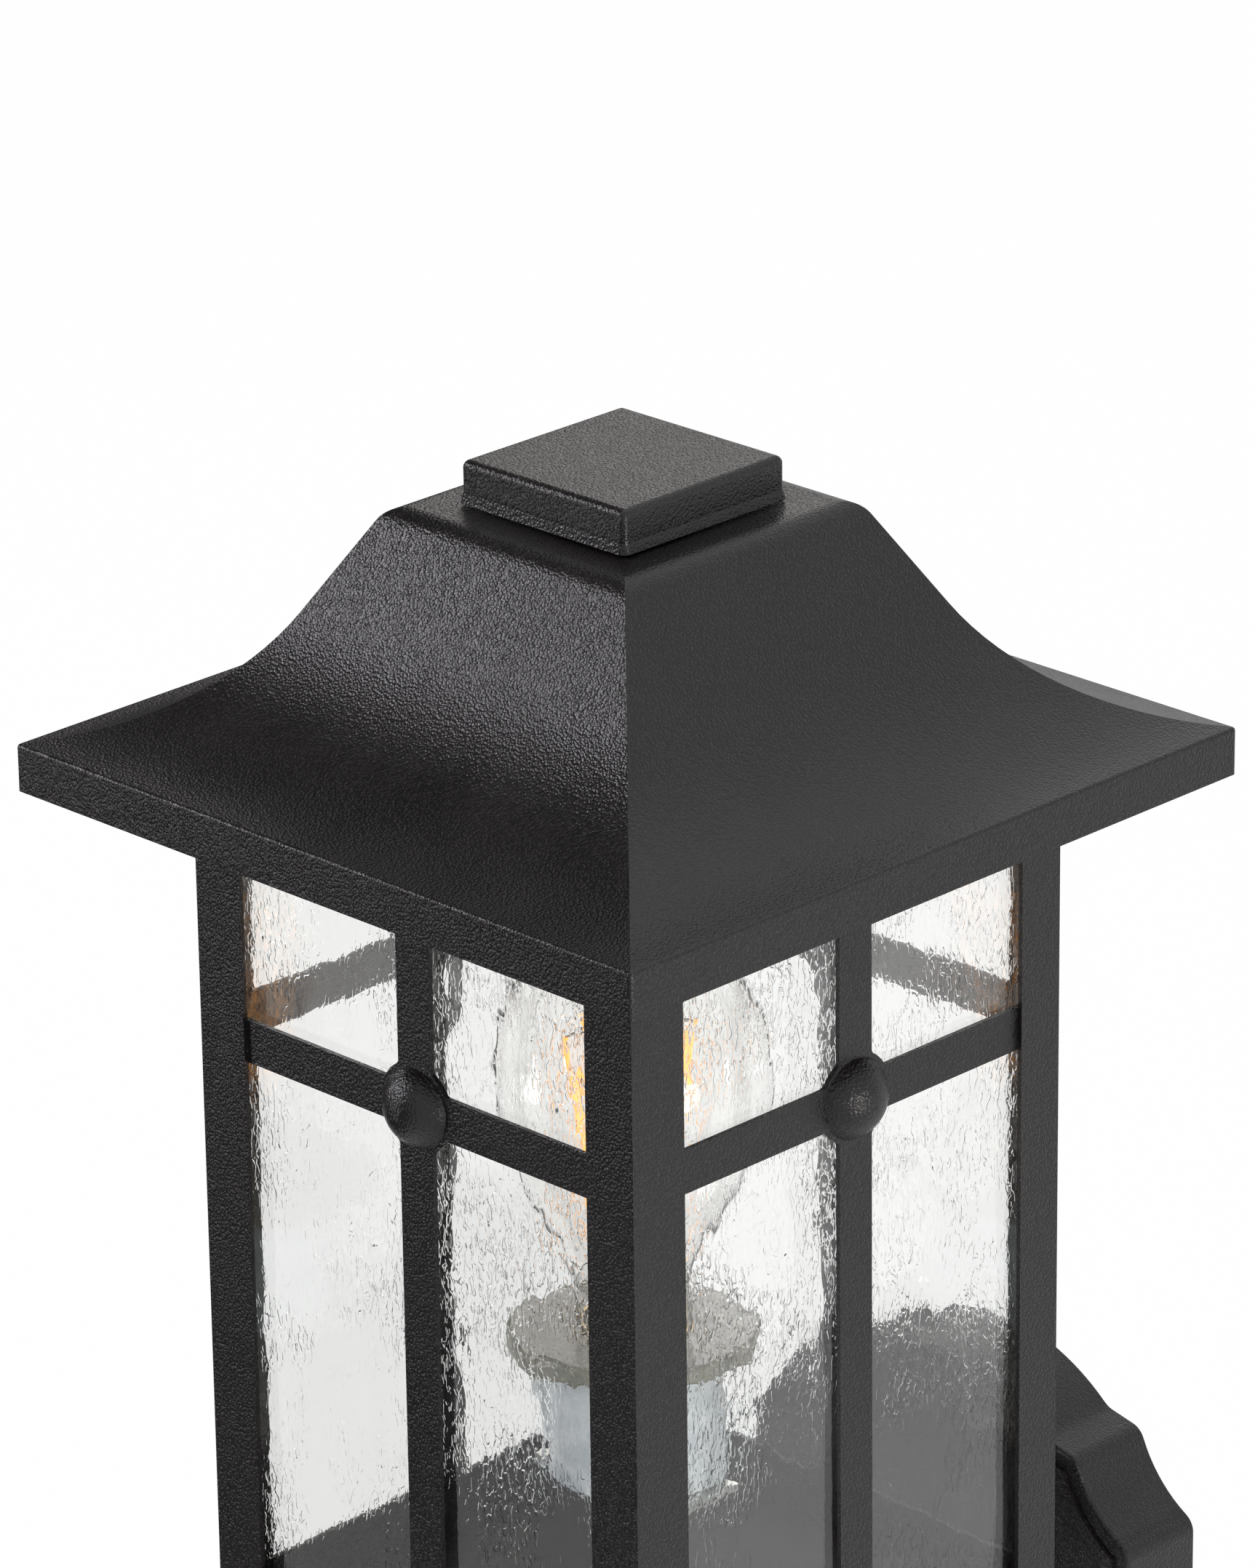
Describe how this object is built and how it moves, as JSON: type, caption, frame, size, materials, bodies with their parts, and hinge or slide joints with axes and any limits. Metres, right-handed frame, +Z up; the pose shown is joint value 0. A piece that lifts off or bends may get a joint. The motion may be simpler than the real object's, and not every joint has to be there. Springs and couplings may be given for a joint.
{
  "type": "outdoor wall lamp",
  "caption": "Square wall lantern with a pagoda roof, crossed face bars with domed bosses, water glass and a shaped wall plate.",
  "frame": {"origin": "on the wall, at the middle of the strap's two box-screw slots", "axes": "+Z up, +Y into the wall, so the lamp stands out towards -Y, and +X to the right for someone who faces the wall"},
  "size_m": [0.2, 0.23, 0.4409],
  "materials": {
    "black_coat": "fine textured powder coat, satin",
    "water_glass": "clear water glass, rippled",
    "clear_glass": "clear",
    "porcelain": "glazed",
    "brass": "plain",
    "zinc_steel": "zinc plated",
    "spring_steel": "plain",
    "solder": "dull",
    "wire_metal": "plain",
    "filament": "glowing",
    "black_insulator": "glossy black glass",
    "black_rubber": "matte",
    "foam": "closed-cell foam",
    "green_screw": "green passivated",
    "connector_plastic": "moulded",
    "black_lead": "insulation",
    "white_lead": "insulation",
    "green_lead": "insulation"
  },
  "bodies": {
    "fixture": {"corner_post_front_left": "black_coat", "corner_post_front_right": "black_coat", "corner_post_back_right": "black_coat", "corner_post_back_left": "black_coat", "top_rail_front": "black_coat", "top_rail_right": "black_coat", "top_rail_back": "black_coat", "top_rail_left": "black_coat", "bottom_rail_front": "black_coat", "bottom_rail_right": "black_coat", "bottom_rail_back": "black_coat", "bottom_rail_left": "black_coat", "grille_cross_front": "black_coat", "grille_cross_right": "black_coat", "grille_cross_back": "black_coat", "grille_cross_left": "black_coat", "base_block": "black_coat", "arm": "black_coat", "arm_escutcheon": "black_coat", "backplate": "black_coat", "cap_nuts": "black_coat", "glass_pane_front": "water_glass", "glass_pane_right": "water_glass", "glass_pane_back": "water_glass", "glass_pane_left": "water_glass", "base_pan": "black_coat", "glass_clips": "spring_steel", "roof_bridge": "zinc_steel", "bridge_screws": "zinc_steel", "roof_rod": "zinc_steel", "rod_nuts": "zinc_steel", "lampholder": "porcelain", "lampholder_shell": "brass", "lampholder_contact": "brass", "holder_bracket": "zinc_steel", "holder_screws": "zinc_steel", "lantern_tube": "zinc_steel", "tube_nuts": "zinc_steel", "wall_tube": "zinc_steel", "backplate_gasket": "foam", "mounting_strap": "zinc_steel", "strap_studs": "zinc_steel", "stud_nuts": "zinc_steel", "nut_washers": "zinc_steel", "ground_screw": "green_screw", "wire_connectors": "connector_plastic", "lead_live": "black_lead", "lead_neutral": "white_lead", "lead_earth": "green_lead"},
    "roof": {"roof": "black_coat"},
    "cap_rise": {"cap_seal": "black_rubber"},
    "cap": {"roof_cap": "black_coat", "cap_insert": "brass"},
    "bulb_rise": {"bulb_contact": "solder"},
    "bulb": {"bulb_glass": "clear_glass", "bulb_cap": "brass", "bulb_insulator": "black_insulator", "bulb_stem": "clear_glass", "bulb_filaments": "filament", "filament_wires": "wire_metal"}
  },
  "joints": [
    {"name": "roof_lift", "type": "slide", "parent": "fixture", "child": "roof", "axis": [0, 0, 1], "range_m": [0, 0.1]},
    {"name": "cap_lift", "type": "slide", "parent": "roof", "child": "cap_rise", "axis": [0, 0, 1], "range_m": [0, 0.008]},
    {"name": "cap_turn", "type": "hinge", "parent": "cap_rise", "child": "cap", "pos_m": [0, -0.13, 0.345], "axis": [0, 0, 1], "range_deg": [0, 2880]},
    {"name": "bulb_lift", "type": "slide", "parent": "fixture", "child": "bulb_rise", "axis": [0, 0, 1], "range_m": [0, 0.0109]},
    {"name": "bulb_turn", "type": "hinge", "parent": "bulb_rise", "child": "bulb", "pos_m": [0, -0.13, 0.12], "axis": [0, 0, 1], "range_deg": [0, 1080]}
  ],
  "couplings": [
    {"joint": "cap_lift", "follows": "cap_turn", "m_per_rad": 0.00015915},
    {"joint": "bulb_lift", "follows": "bulb_turn", "m_per_rad": 0.00057773}
  ]
}
